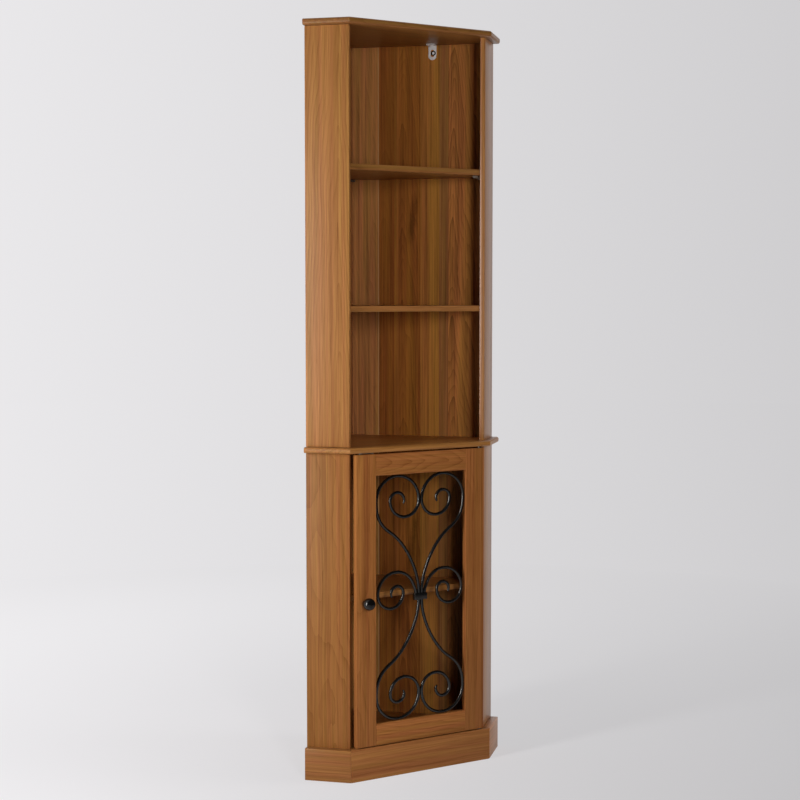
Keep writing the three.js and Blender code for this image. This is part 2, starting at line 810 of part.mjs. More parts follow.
// Collar round the four rods
const chamferedRectangle = (halfX, halfY, corner) => [
  new THREE.Vector2(halfX, -halfY + corner),
  new THREE.Vector2(halfX, halfY - corner),
  new THREE.Vector2(halfX - corner, halfY),
  new THREE.Vector2(-halfX + corner, halfY),
  new THREE.Vector2(-halfX, halfY - corner),
  new THREE.Vector2(-halfX, -halfY + corner),
  new THREE.Vector2(-halfX + corner, -halfY),
  new THREE.Vector2(halfX - corner, -halfY),
];
const collarHoleHalfX = curlFootX + rodRadius + seatGap;
const collarHoleHalfY = rodRadius + seatGap;
const collarShape = new THREE.Shape(chamferedRectangle(
  collarHoleHalfX + collarWall,
  collarHoleHalfY + collarWall,
  collarWall,
));
collarShape.holes.push(new THREE.Path(chamferedRectangle(
  collarHoleHalfX,
  collarHoleHalfY,
  collarWall / 2,
).reverse()));
const collar = new THREE.ExtrudeGeometry(collarShape, { depth: collarHeight, bevelEnabled: false });
collar.translate(0, doorMiddleY, doorMiddleZ - collarDrop - collarHeight / 2);
add('scroll_collar', collar, blackIron);

// Knob: a ball on a short stem, bored for its screw
const knobProfile = () => {
  const stemAngle = Math.asin(knobStemRadius / knobRadius);
  const points = [];
  for (let step = 0; step <= ballSteps; step += 1) {
    const angle = (Math.PI - stemAngle) * step / ballSteps;
    points.push(new THREE.Vector2(
      knobRadius * Math.sin(angle),
      knobReach + knobRadius * Math.cos(angle),
    ));
  }
  points[0].x = 0;
  points.push(new THREE.Vector2(knobStemRadius, seatGap));
  points.push(new THREE.Vector2(screwRadius + seatGap, seatGap));
  points.push(new THREE.Vector2(screwRadius + seatGap, knobBoreDepth));
  points.push(new THREE.Vector2(0, knobBoreDepth));
  return points.reverse();
};
const knob = new THREE.LatheGeometry(knobProfile(), roundSides);
knob.rotateX(Math.PI);
knob.translate(knobX, doorFrontY, knobCentreZ);
add('door_knob', knob, blackIron);

// Pan-head screws: the shank runs up the profile's axis from a head below zero
const screw = (shankLength, direction, origin) => {
  const profile = [
    new THREE.Vector2(0, -screwHeadHeight),
    new THREE.Vector2(screwHeadRadius - screwHeadHeight / 2, -screwHeadHeight),
    new THREE.Vector2(screwHeadRadius, -screwHeadHeight / 2),
    new THREE.Vector2(screwHeadRadius, 0),
    new THREE.Vector2(screwRadius, 0),
    new THREE.Vector2(screwRadius, shankLength),
    new THREE.Vector2(0, shankLength),
  ];
  const geometry = new THREE.LatheGeometry(profile, roundSides);
  geometry.applyQuaternion(new THREE.Quaternion().setFromUnitVectors(
    new THREE.Vector3(0, 1, 0),
    direction,
  ));
  geometry.translate(origin.x, origin.y, origin.z);
  return geometry;
};
add('knob_screw', screw(
  doorThickness + knobBoreDepth,
  new THREE.Vector3(0, -1, 0),
  new THREE.Vector3(knobX, doorBackY + seatGap, knobCentreZ),
), steel);
add('bracket_screw', screw(
  bracketThickness + seatGap * 2 + bracketScrewInBoard,
  up,
  raised(bracketScrewPlan, bracketUnderZ - seatGap),
), zinc);

// Magnetic catch: a plastic body with a magnet in its front, and a steel plate on the door's back
const catchLowZ = waistUnderZ - seatGap - catchHeight;
const plateBackY = doorBackY + seatGap;
const catchFrontY = plateBackY + plateThickness + catchGap;
const magnetLow = new THREE.Vector3(
  catchCentreX - magnetWidth / 2,
  catchFrontY,
  catchLowZ + (catchHeight - magnetHeight) / 2,
);
const magnetHigh = new THREE.Vector3(
  catchCentreX + magnetWidth / 2,
  catchFrontY + magnetDepth,
  catchLowZ + (catchHeight + magnetHeight) / 2,
);
const magnetPocket = box(
  magnetLow.clone().sub(new THREE.Vector3(seatGap, cutOverrun, seatGap)),
  magnetHigh.clone().addScalar(seatGap),
);
const catchOutline = chamferedRectangle(catchWidth / 2, catchDepth / 2, catchCorner).map(
  point => new THREE.Vector2(point.x + catchCentreX, point.y + catchFrontY + catchDepth / 2),
);
add('magnetic_catch', cutFrom(
  prism(catchOutline, catchLowZ, catchLowZ + catchHeight),
  [magnetPocket],
), beigePlastic);
add('catch_magnet', box(magnetLow, magnetHigh), steel);
add('catch_plate', box(
  new THREE.Vector3(catchCentreX - plateWidth / 2, plateBackY, doorTopZ - plateTopDrop - plateHeight),
  new THREE.Vector3(catchCentreX + plateWidth / 2, plateBackY + plateThickness, doorTopZ - plateTopDrop),
), zinc);

// Wall bracket: one leg flat on the right back sheet, the other under the top board
const legOutline = new THREE.Shape();
legOutline.moveTo(bracketWidth / 2, 0);
legOutline.lineTo(-bracketWidth / 2, 0);
legOutline.lineTo(-bracketWidth / 2, bracketWidth / 2 - bracketDrop);
legOutline.absarc(0, bracketWidth / 2 - bracketDrop, bracketWidth / 2, Math.PI, Math.PI * 2, false);
const slot = new THREE.Path();
const slotHalf = bracketSlotLength / 2 - bracketSlotRadius;
slot.absarc(0, -bracketSlotDrop + slotHalf, bracketSlotRadius, 0, Math.PI, false);
slot.absarc(0, -bracketSlotDrop - slotHalf, bracketSlotRadius, Math.PI, Math.PI * 2, false);
legOutline.holes.push(slot);
const bracketFace = raised(fromWalls(bracketFromCorner, sheetInner + seatGap), topUnderZ - seatGap);
const wallLeg = facing(new THREE.ExtrudeGeometry(legOutline, {
  depth: bracketThickness,
  bevelEnabled: false,
  curveSegments: roundSides / 4,
}), bracketFace, offRightWall);
const bracketNear = sheetInner + seatGap;
const topLeg = prism([
  fromWalls(bracketFromCorner - bracketWidth / 2, bracketNear),
  fromWalls(bracketFromCorner - bracketWidth / 2, bracketNear + bracketReach),
  fromWalls(bracketFromCorner + bracketWidth / 2, bracketNear + bracketReach),
  fromWalls(bracketFromCorner + bracketWidth / 2, bracketNear),
], bracketUnderZ, topUnderZ - seatGap);
const bracketBlank = toGeometry(toSolid(wallLeg).add(toSolid(topLeg)));
add('wall_bracket', cutFrom(bracketBlank, [bracketScrewBore]), zinc);

// The origin lies on the floor, in the middle of the cupboard's length and depth
const foremostY = knobCentreY - knobRadius;
cupboard.position.y = -(foremostY + rearCornerY) / 2;

export default cupboard;
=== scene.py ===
import math

import bmesh
import bpy
from mathutils import Euler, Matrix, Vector


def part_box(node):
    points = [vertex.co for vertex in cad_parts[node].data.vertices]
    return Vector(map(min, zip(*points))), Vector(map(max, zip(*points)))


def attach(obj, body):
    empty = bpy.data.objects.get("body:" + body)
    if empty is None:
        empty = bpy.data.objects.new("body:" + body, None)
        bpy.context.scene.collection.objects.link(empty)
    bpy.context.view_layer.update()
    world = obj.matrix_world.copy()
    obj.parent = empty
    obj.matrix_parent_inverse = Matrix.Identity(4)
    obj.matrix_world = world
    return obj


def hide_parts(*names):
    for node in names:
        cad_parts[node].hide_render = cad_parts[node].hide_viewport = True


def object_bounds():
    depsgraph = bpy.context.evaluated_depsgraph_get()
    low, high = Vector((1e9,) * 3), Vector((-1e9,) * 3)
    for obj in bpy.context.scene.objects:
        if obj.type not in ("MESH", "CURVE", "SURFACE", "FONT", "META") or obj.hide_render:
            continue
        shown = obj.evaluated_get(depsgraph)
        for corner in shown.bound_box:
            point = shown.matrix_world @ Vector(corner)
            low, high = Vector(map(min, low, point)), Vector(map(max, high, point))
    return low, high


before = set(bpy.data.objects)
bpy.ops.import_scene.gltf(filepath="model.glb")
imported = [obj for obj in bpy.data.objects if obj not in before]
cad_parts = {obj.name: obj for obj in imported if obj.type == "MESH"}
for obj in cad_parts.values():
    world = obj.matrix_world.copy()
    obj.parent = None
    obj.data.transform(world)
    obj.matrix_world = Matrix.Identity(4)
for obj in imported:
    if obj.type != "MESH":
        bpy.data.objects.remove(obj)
cad_low, cad_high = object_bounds()

# Camera. It stands to the left of the front at chest height and looks slightly down, so that the
# left side board, the open bays and the door all show, as in the photograph.
bpy.ops.object.camera_add(
    location=(-2.09215, -3.495335, 1.1722),
    rotation=(math.radians(86.28), 0, math.radians(-31.36)),
)
camera = bpy.context.object
camera.data.lens = 72.93
camera.data.sensor_width = 36
bpy.context.scene.camera = camera
bpy.context.scene.view_settings.view_transform = "Standard"


# Studio. A pale floor under a pale surround, both a little darker towards the right. The maths of a
# material is written as sums of its sockets, and every other node comes from one method.
class Wire:
    """An output socket of a finish, used like a number"""

    def __init__(self, finish, socket):
        self.finish = finish
        self.socket = socket

    def worked(self, operation, *numbers):
        return self.finish.node("ShaderNodeMath", {"operation": operation}, dict(enumerate(numbers)))

    def __add__(self, other):
        return self.worked("ADD", self, other)

    def __radd__(self, other):
        return self.worked("ADD", other, self)

    def __sub__(self, other):
        return self.worked("SUBTRACT", self, other)

    def __rsub__(self, other):
        return self.worked("SUBTRACT", other, self)

    def __mul__(self, other):
        return self.worked("MULTIPLY", self, other)

    def __rmul__(self, other):
        return self.worked("MULTIPLY", other, self)

    def __truediv__(self, other):
        return self.worked("DIVIDE", self, other)

    def __pow__(self, other):
        return self.worked("POWER", self, other)

    def __mod__(self, other):
        return self.worked("MODULO", self, other)

    def __abs__(self):
        return self.worked("ABSOLUTE", self)

    def past_whole(self):
        """What a number has past its whole part"""
        return self.worked("FRACT", self)


class Finish:
    """A material, or the surround, and the one way to add a node to it"""

    def __init__(self, name, owner=None):
        self.material = owner or bpy.data.materials.new(name)
        self.material.use_nodes = True
        self.tree = self.material.node_tree
        self.tree.nodes.clear()

    def node(self, kind, settings=None, sockets=None, output=0):
        """A new node with its settings and its sockets' values or links, as one of its outputs"""
        made = self.tree.nodes.new(kind)
        for key, value in (settings or {}).items():
            if key == "stops":
                self.set_stops(made.color_ramp, value)
            elif key == "interpolation":
                made.color_ramp.interpolation = value
            else:
                setattr(made, key, value)
        for key, value in (sockets or {}).items():
            if isinstance(value, Wire):
                self.tree.links.new(value.socket, made.inputs[key])
            else:
                made.inputs[key].default_value = value
        return Wire(self, made.outputs[output]) if made.outputs else made

    def set_stops(self, ramp, stops):
        """Places and colours along a ramp"""
        while len(ramp.elements) < len(stops):
            ramp.elements.new(1)
        for element, (place, colour) in zip(ramp.elements, stops):
            element.position = place
            element.color = (*colour, 1)

    def place(self):
        """The place on a piece"""
        return self.node("ShaderNodeTexCoord", {}, {}, "Object")

    def axis(self, place, letter):
        """A place along one axis"""
        return self.node("ShaderNodeSeparateXYZ", {}, {0: place}, letter)

    def vector(self, operation, first, second=(0, 0, 0), output="Vector"):
        """Maths on places or colours"""
        return self.node(
            "ShaderNodeVectorMath", {"operation": operation}, {0: first, 1: second}, output
        )

    def blend(self, share, low, high):
        """A colour between two others"""
        colours = {0: share}
        for key, colour in ((6, low), (7, high)):
            colours[key] = colour if isinstance(colour, Wire) else (*colour, 1)
        return self.node("ShaderNodeMix", {"data_type": "RGBA"}, colours, 2)

    def tinted(self, colour, share):
        """A colour times a number"""
        return self.node("ShaderNodeVectorMath", {"operation": "SCALE"}, {0: colour, "Scale": share})

    def stained(self, colour, stain):
        """A colour times another"""
        return self.vector("MULTIPLY", colour, stain)

    def noise(self, place, stretch, detail=2, roughness=0.5):
        """Noise from 0 to 1 on a place whose axes are stretched"""
        spread = self.vector("MULTIPLY", place, stretch)
        return self.node(
            "ShaderNodeTexNoise",
            {},
            {"Vector": spread, "Scale": 1, "Detail": detail, "Roughness": roughness},
        )

    def held(self, value, low, high):
        """A number moved from the span low to high onto 0 to 1, and kept there"""
        return self.node("ShaderNodeMapRange", {}, {0: value, 1: low, 2: high})

    def bump(self, strength, distance, height):
        """Fine relief for a surface"""
        return self.node(
            "ShaderNodeBump", {}, {"Strength": strength, "Distance": distance, "Height": height}
        )

    def surface(self, **sockets):
        """Ends the finish in a shader with these sockets"""
        named = {key.replace("_", " "): value for key, value in sockets.items()}
        shader = self.node("ShaderNodeBsdfPrincipled", {}, named)
        self.node("ShaderNodeOutputMaterial", {}, {"Surface": shader})
        return self.material


# The camera and clear things see the surround in full, and glossy ones what lies behind the
# cupboard. All other light finds it nearly dark, so that the lamps light the wood. It fades along
# one level direction, towards the picture's right.
RAYS = ("Is Camera Ray", "Is Glossy Ray", "Is Transmission Ray")
PALE = (0.722, 0.712, 0.726)
AMBIENT = 0.03
BEHIND_SLANT = 0.25
FADING = 0.55
FADE_TURN = math.radians(-31.36)
FADE_X, FADE_Y = math.cos(FADE_TURN), math.sin(FADE_TURN)
surround = Finish("surround", bpy.data.worlds.new("surround"))
bpy.context.scene.world = surround.material
seen, mirrored, passed = (surround.node("ShaderNodeLightPath", {}, {}, ray) for ray in RAYS)
sky = surround.node("ShaderNodeTexCoord", {}, {}, "Generated")
sky_x, sky_y = (surround.axis(sky, letter) for letter in "XY")
behind = surround.held(sky_y - BEHIND_SLANT * sky_x, -0.15, 0.1)
shown = surround.held(seen + mirrored * behind + passed, 0, 1)
fade = 1 - seen * FADING * (FADE_X * sky_x + FADE_Y * sky_y)
strength = (AMBIENT + (1 - AMBIENT) * shown) * fade
pale_air = surround.node("ShaderNodeBackground", {}, {"Color": (*PALE, 1), "Strength": strength})
surround.node("ShaderNodeOutputWorld", {}, {"Surface": pale_air})

# To the camera the floor is partly lit paper near the cupboard, where its shadow falls, and an even
# glow further out. Glossy things also see a patch of it at the left front.
FLOOR_RADIUS = 14
PAPER_NEAR = (0.62, 0.61, 0.625)
PAPER_FAR = (0.2, 0.197, 0.202)
PAPER_SHARE = 0.45
PATCH_X, PATCH_Y = -0.755, -0.656
PATCH_STRENGTH = 0.5
FADE_START = 4.07
bpy.ops.mesh.primitive_circle_add(
    vertices=128, radius=FLOOR_RADIUS, fill_type="NGON", location=(0, 0, 0)
)
floor = bpy.context.object
floor.name = "studio_floor"
paper = Finish("studio_paper")
spot = paper.place()
spot_x, spot_y = (paper.axis(spot, letter) for letter in "XY")
reach = paper.vector("LENGTH", spot, output="Value")
near = 1 - paper.held(reach, 0.8, 3)
seen, mirrored, passed = (paper.node("ShaderNodeLightPath", {}, {}, ray) for ray in RAYS)
behind = paper.held(spot_y - BEHIND_SLANT * spot_x, -0.5, 0.05)
patch = paper.held((PATCH_X * spot_x + PATCH_Y * spot_y) / reach, 0.8, 0.93)
shown = paper.held(seen + mirrored * (behind + patch * PATCH_STRENGTH) + passed, 0, 1)
lit_paper = paper.node(
    "ShaderNodeBsdfDiffuse", {}, {"Color": paper.blend(near, PAPER_FAR, PAPER_NEAR)}
)
aside = FADE_X * spot_x + FADE_Y * spot_y
ahead = FADE_X * spot_y - FADE_Y * spot_x + FADE_START
fade = 1 - seen * FADING * (aside / ahead)
brighter = (0.37 - 0.04 * spot_x + 0.2 * spot_y) * near**1.3
glow = paper.node("ShaderNodeEmission", {}, {"Color": (*PALE, 1), "Strength": fade * (1 + brighter)})
share = shown * (1 - PAPER_SHARE * near)
shadowed = paper.node("ShaderNodeMixShader", {}, {0: share, 1: lit_paper, 2: glow})
paper.node("ShaderNodeOutputMaterial", {}, {"Surface": shadowed})
floor.data.materials.append(paper.material)

# Lamps. A tall soft box stands far to the left. One in front reaches above the cupboard, so that
# each shelf shades the sheets below it. A dim one stands far to the right, and a weak one overhead.
# Each has its place, its width and height, and its watts. Glossy things see the left one alone.
LAMPS = [
    ("left_box", (-2.15, -0.42, 1.05), (0.35, 1.7), 38.5),
    ("front_box", (-1.22, -3.72, 1.48), (0.5, 1.1), 45.5),
    ("right_box", (2.3, -1.6, 1.5), (1.2, 1.4), 25),
    ("top_box", (0, 0.15, 3.3), (0.8, 0.8), 8),
]
AIMED_AT = Vector((0, 0, 1))
for name, place, (width, height), power in LAMPS:
    bpy.ops.object.light_add(type="AREA", location=place)
    lamp = bpy.context.object
    lamp.name = name
    lamp.data.shape = "RECTANGLE"
    lamp.data.size = width
    lamp.data.size_y = height
    lamp.data.energy = power
    lamp.visible_glossy = name == "left_box"
    lamp.rotation_euler = (AIMED_AT - Vector(place)).to_track_quat("-Z", "Y").to_euler()


# Side boards. Four solid boards stand at 45 degrees beside the front, two above the waist and two
# below. Each is planed, lacquered a warm brown and eased along its edges, with its grain upright.
def alone(piece):
    """Only this piece is selected and active"""
    bpy.ops.object.select_all(action="DESELECT")
    piece.select_set(True)
    bpy.context.view_layer.objects.active = piece


def pick_edges(piece, wanted):
    """In edit mode, selects only the wanted edges"""
    bpy.ops.mesh.select_mode(type="EDGE")
    bpy.ops.mesh.select_all(action="DESELECT")
    shape = bmesh.from_edit_mesh(piece.data)
    for edge in shape.edges:
        if wanted(edge):
            edge.select_set(True)
    bmesh.update_edit_mesh(piece.data)


WELD = 0.00002


def merged_copy(node):
    """A CAD solid as a new object, its loose triangles joined into whole faces"""
    piece = bpy.data.objects.new(node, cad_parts[node].data.copy())
    bpy.context.collection.objects.link(piece)
    alone(piece)
    bpy.ops.object.mode_set(mode="EDIT")
    bpy.ops.mesh.select_all(action="SELECT")
    bpy.ops.mesh.remove_doubles(threshold=WELD)
    bpy.ops.mesh.customdata_custom_splitnormals_clear()
    bpy.ops.mesh.dissolve_limited(angle_limit=math.radians(0.5))
    bpy.ops.object.mode_set(mode="OBJECT")
    return piece


def ease(piece, width, steps=2, shortest=0.008, angle=25):
    """Rounds the long edges of a piece that are sharper than an angle"""
    alone(piece)
    bpy.ops.object.mode_set(mode="EDIT")
    pick_edges(piece, lambda edge: (
        len(edge.link_faces) == 2
        and edge.calc_length() > shortest
        and edge.calc_face_angle() > math.radians(angle)
    ))
    bpy.ops.mesh.bevel(offset=width, segments=steps, affect="EDGES", clamp_overlap=True)
    bpy.ops.object.mode_set(mode="OBJECT")
    bpy.ops.object.shade_smooth_by_angle(angle=math.radians(40), keep_sharp_edges=False)


def fitted(piece, name, body, slot, material, *nodes):
    """Names a finished piece, and says what it rides on, its finish and the solids it stands for"""
    piece.name = name
    piece.data.materials.clear()
    piece.data.materials.append(material)
    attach(piece, body)
    if nodes:
        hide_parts(*nodes)
    return piece


UPRIGHT = (0, math.radians(90), 0)
LEVEL = (0, 0, 0)
REDDISH = (1.02, 0.945, 1.05)
YELLOWISH = (0.985, 1.06, 0.95)


def lacquered_wood(
    name, turn, heart, shade, light, dark,
    spacing=0.0085, taper=0.03, figure=1, gloss=0.12, roughness=0.4,
):
    """Lacquered wood. turn lays the grain along the pattern's first axis; heart is a point on the
    middle of the tree, so a board near it shows arches and one far from it straight lines"""
    wood = Finish(name)
    light = [share * shade for share in light]
    dark = [share * shade for share in dark]
    lay = Euler(turn, "XYZ").to_matrix()
    grain = wood.node(
        "ShaderNodeMapping",
        {},
        {"Vector": wood.place(), "Location": -(lay @ Vector(heart)), "Rotation": turn},
    )

    # Year rings round the heart, which taper along the tree and wander; their late wood is dark
    radius = wood.vector("LENGTH", wood.vector("MULTIPLY", grain, (0, 1, 1)), output="Value")
    wander = wood.noise(grain, (2.6, 9, 9))
    ripple = wood.noise(grain, (14, 45, 45))
    rings = (radius + wood.axis(grain, "X") * taper + wander * 0.05 + ripple * 0.007) / spacing
    faint = wood.held(wood.noise(grain, (1.1, 14, 14), 1), 0.3, 0.7)
    late = rings.past_whole() ** 3.5 * (0.35 + 0.65 * faint) * figure

    # Straight grain from broad bands down to fibres, which sways a little, with open pores
    sway = (wood.noise(grain, (3, 8, 8)) - 0.5) * 0.013
    bent = wood.vector("ADD", grain, wood.node("ShaderNodeCombineXYZ", {}, {1: sway, 2: sway}))
    band = wood.noise(grain, (0.5, 24, 24))
    stripe = wood.noise(bent, (1, 75, 75))
    streak = wood.noise(bent, (2.4, 260, 260), 2, 0.6)
    fibre = wood.noise(bent, (14, 420, 420), 3, 0.6)
    pores = wood.held(wood.noise(grain, (40, 1500, 1500), 1), 0.6, 0.78)
    tone = 0.62 + (band - 0.5) * 0.6 + (stripe - 0.5) * 0.7 + (streak - 0.5) * 1.5
    tone = tone + (fibre - 0.5) * 0.5 - late * 0.4 - pores * 0.2

    # Reddish and yellowish strips
    drift = wood.held(wood.noise(grain, (0.8, 90, 90)), 0.34, 0.66)
    colour = wood.stained(
        wood.blend(wood.held(tone, 0, 1), dark, light), wood.blend(drift, REDDISH, YELLOWISH)
    )
    return wood.surface(
        Base_Color=colour,
        Roughness=roughness + 0.12 * (1 - fibre) + 0.08 * pores,
        Normal=wood.bump(0.25, 0.0002, fibre * 0.5 - pores * 0.8 - late * 0.2),
        Specular_IOR_Level=gloss,
    )


SIDE_TONES = {"light": (0.47, 0.197, 0.055), "dark": (0.235, 0.082, 0.018)}
SIDE_BOARDS = {
    "upper_left_side": {
        "heart": (-0.208, -0.128, 1.3), "shade": 0.98, "gloss": 0.2, "taper": 0.06, "figure": 1.2,
        "light": (0.47, 0.208, 0.062), "dark": (0.235, 0.088, 0.0215),
    },
    "upper_right_side": {"heart": (0.3, -0.16, 1.2), "shade": 0.85, "gloss": 0.8, "roughness": 0.3},
    "lower_left_side": {"heart": (-0.08, 0.1, 0.4), "shade": 0.77},
    "lower_right_side": {"heart": (0.2, -0.13, 0.5), "shade": 0.92, "gloss": 1, "roughness": 0.3},
}
CRISP_EDGE = 0.0002
SOFT_EDGE = 0.0008
for node, look in SIDE_BOARDS.items():
    board = merged_copy(node)
    ease(board, CRISP_EDGE if "right" in node else SOFT_EDGE)
    wood = lacquered_wood(node + "_wood", UPRIGHT, **(SIDE_TONES | look))
    fitted(board, node + "_board", "cabinet", "carcase_wood", wood, node)

# Top, waist and floor boards and three shelves. Solid boards with level grain; the top and the
# waist board reach past the sides and have a rounded nose along the front and sides. Each has its
# grain's heart, its shade, and how far edges sharper than an angle are eased.
LEVEL_TONES = {"light": (0.465, 0.2, 0.055), "dark": (0.232, 0.086, 0.019)}
LEVEL_BOARDS = {
    "top_board": ((0, 0.05, 1.79), 0.69, 0.0011, 12),
    "waist_board": ((0.1, -0.1, 0.84), 1.02, 0.0011, 12),
    "floor_board": ((0, -0.08, 0.1), 0.9, 0.0006, 25),
    "upper_shelf": ((-0.2, -0.1, 1.5), 0.75, 0.0008, 25),
    "middle_shelf": ((0.3, -0.2, 1.11), 0.85, 0.0008, 25),
    "lower_shelf": ((0, -0.15, 0.46), 1.15, 0.0008, 25),
}
for node, (heart, shade, width, angle) in LEVEL_BOARDS.items():
    board = merged_copy(node)
    ease(board, width, 3, angle=angle)
    wood = lacquered_wood(
        node + "_wood", LEVEL, heart, shade, **LEVEL_TONES, taper=0.02, gloss=0.4, roughness=0.3
    )
    fitted(board, node + "_piece", "cabinet", "carcase_wood", wood, node)

# Plinth. Three boards stand round the foot of the side boards, mitred at the front corners, with
# level grain and a softened top edge. Each has its grain's turn and heart, its shade and its gloss.
PLINTH_TONES = {"light": (0.465, 0.192, 0.058), "dark": (0.235, 0.082, 0.02)}
PLINTH_EDGE = 0.0012
PLINTH_BOARDS = {
    "plinth_front": (LEVEL, (0.3, -0.2, -0.03), 0.95, 0.12),
    "plinth_left": ((0, 0, math.radians(45)), (-0.24, -0.15, -0.05), 0.8, 0.2),
    "plinth_right": ((0, 0, math.radians(-45)), (0.24, -0.15, 0.12), 1.25, 1),
}
for node, (turn, heart, shade, gloss) in PLINTH_BOARDS.items():
    board = merged_copy(node)
    ease(board, PLINTH_EDGE, 3)
    wood = lacquered_wood(
        node + "_wood", turn, heart, shade, **PLINTH_TONES, taper=0.015, gloss=gloss, roughness=0.3
    )
    fitted(board, node + "_piece", "cabinet", "carcase_wood", wood, node)

# Back sheets. Thin sheets in grooves in front of the walls, faced with a print of upright planks
# of uneven width and tone. They run past behind the shelves. A plank of the print has its start
# along the wall from the rear corner, its tone, how strong its arches are and where they stand.
REAR_CORNER = Vector((0, cad_high.y, 0))
WALL_LENGTH = math.sqrt(2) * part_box("upper_right_side")[1].x
PLANKS = [
    (0.000, (0.465, 0.203, 0.067), 0.4, 0.01),
    (0.086, (0.34, 0.118, 0.025), 0.3, 0.1),
    (0.127, (0.40, 0.148, 0.033), 0.1, 0.13),
    (0.140, (0.36, 0.125, 0.027), 0.7, 0.152),
    (0.196, (0.46, 0.185, 0.043), 0.1, 0.22),
    (0.246, (0.38, 0.162, 0.05), 0.1, 0.25),
    (0.270, (0.51, 0.205, 0.055), 1, 0.284),
]
SEAM_WIDTH = 0.0016
PALE_SEAM = 0.086
PALE_LINE = (0.8, 0.5, 0.27)
PRINT_RED = (1.03, 0.93, 1.05)
PRINT_YELLOW = (0.97, 1.07, 0.9)
RING_SPACING = 0.03
PRINT_REPEAT = 0.83
BURL_OUT = 0.178
BURL_RISE = 0.54
BURL_LEAN = 0.13
WAIST_HEIGHT = 0.8


def printed_planks(name, quarter):
    """The print on a back sheet. quarter turns the wall's length onto the pattern's first axis"""
    wood = Finish(name)
    turn = (0, 0, quarter)
    lay = Euler(turn, "XYZ").to_matrix()
    wall = wood.node(
        "ShaderNodeMapping",
        {},
        {"Vector": wood.place(), "Location": -(lay @ REAR_CORNER), "Rotation": turn},
    )
    out = wood.axis(wall, "X")
    rise = wood.axis(wall, "Z")

    # What each plank has of its own, the dark lines between planks and the one pale line
    def by_plank(values):
        stops = [(start / WALL_LENGTH, value) for (start, *_), value in zip(PLANKS, values)]
        steps = {"interpolation": "CONSTANT", "stops": stops}
        return wood.node("ShaderNodeValToRGB", steps, {0: out / WALL_LENGTH})

    plank = by_plank([tone for _, tone, _, _ in PLANKS])
    arched = by_plank([(arches,) * 3 for _, _, arches, _ in PLANKS])
    middle = by_plank([(heart / WALL_LENGTH,) * 3 for _, _, _, heart in PLANKS])
    seams = [(0, (0, 0, 0))]
    for start, _, _, _ in PLANKS[1:]:
        seams += [
            ((start - SEAM_WIDTH) / WALL_LENGTH, (0, 0, 0)),
            (start / WALL_LENGTH, (1, 1, 1)),
            ((start + SEAM_WIDTH) / WALL_LENGTH, (0, 0, 0)),
        ]
    seam = wood.node("ShaderNodeValToRGB", {"stops": seams}, {0: out / WALL_LENGTH})
    pale = 1 - wood.held(abs(out - PALE_SEAM), 0.0006, 0.002)

    # Arches round the middle of each plank
    aside = out - middle * WALL_LENGTH
    shifted = wood.node("ShaderNodeCombineXYZ", {}, {0: aside, 1: middle * 7.3, 2: rise})
    wander = wood.noise(shifted, (20, 3, 3))
    ripple = wood.noise(shifted, (70, 3, 14))
    radius = (aside * aside + 0.00004) ** 0.5
    rings = (radius + rise * 0.13 + wander * 0.05 + ripple * 0.008) / RING_SPACING
    arches = rings.past_whole() ** 1.5 * 0.3 + (rings * 4).past_whole() ** 3 * 0.35 - 0.2

    # Straight grain and pores, and a leaning burl that comes once in each repeat of the print
    streak = wood.noise(shifted, (240, 3, 2.4), 2, 0.6)
    fibre = wood.noise(shifted, (380, 3, 14), 3, 0.6)
    band = wood.noise(shifted, (60, 3, 1.5))
    pores = wood.held(wood.noise(shifted, (1500, 3, 40), 1), 0.6, 0.78)
    above = rise % PRINT_REPEAT - BURL_RISE
    off_burl = abs(out - BURL_OUT - above * BURL_LEAN)
    burl = (1 - wood.held(off_burl, 0.004, 0.013)) * (1 - wood.held(abs(above), 0.035, 0.075))
    curly = wood.noise(shifted, (160, 3, 110), 3, 0.6)
    tone = 0.62 + (band - 0.5) * 1.1 + (streak - 0.5) * 1.7 + (fibre - 0.5) * 0.6
    tone = tone - pores * 0.15 - seam * 0.25 - arched * arches - burl * (0.1 + 0.9 * curly)

    # The print's tone, with reddish and yellowish strips; painted shade darkens its outer end
    drift = wood.held(wood.noise(shifted, (45, 3, 1.6)), 0.34, 0.66)
    colour = wood.blend(wood.held(tone, 0, 1), wood.tinted(plank, 0.5), wood.tinted(plank, 1.3))
    colour = wood.stained(colour, wood.blend(drift, PRINT_RED, PRINT_YELLOW))
    # Painted shade: the right side board's shadow above the waist, the right stile's below it
    upper = wood.held(rise, WAIST_HEIGHT - 0.01, WAIST_HEIGHT + 0.01)
    painted_shade = upper * wood.held(out, 0.295, 0.345) * 0.54
    painted_shade = painted_shade + (1 - upper) * wood.held(out, 0.235, 0.3) * 0.7
    colour = wood.blend(pale * 0.4, wood.tinted(colour, 1 - painted_shade), PALE_LINE)
    return wood.surface(
        Base_Color=colour,
        Roughness=0.46 + 0.1 * (1 - fibre),
        Normal=wood.bump(0.2, 0.0001, fibre - pores),
        Specular_IOR_Level=0.08,
    )


prints = {
    "right": printed_planks("right_sheet_print", math.radians(45)),
    "left": printed_planks("left_sheet_print", math.radians(135)),
}
for level in ("upper", "lower"):
    for side, sheet_print in prints.items():
        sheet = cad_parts[f"{level}_{side}_back"]
        sheet.material_slots[0].material = sheet_print

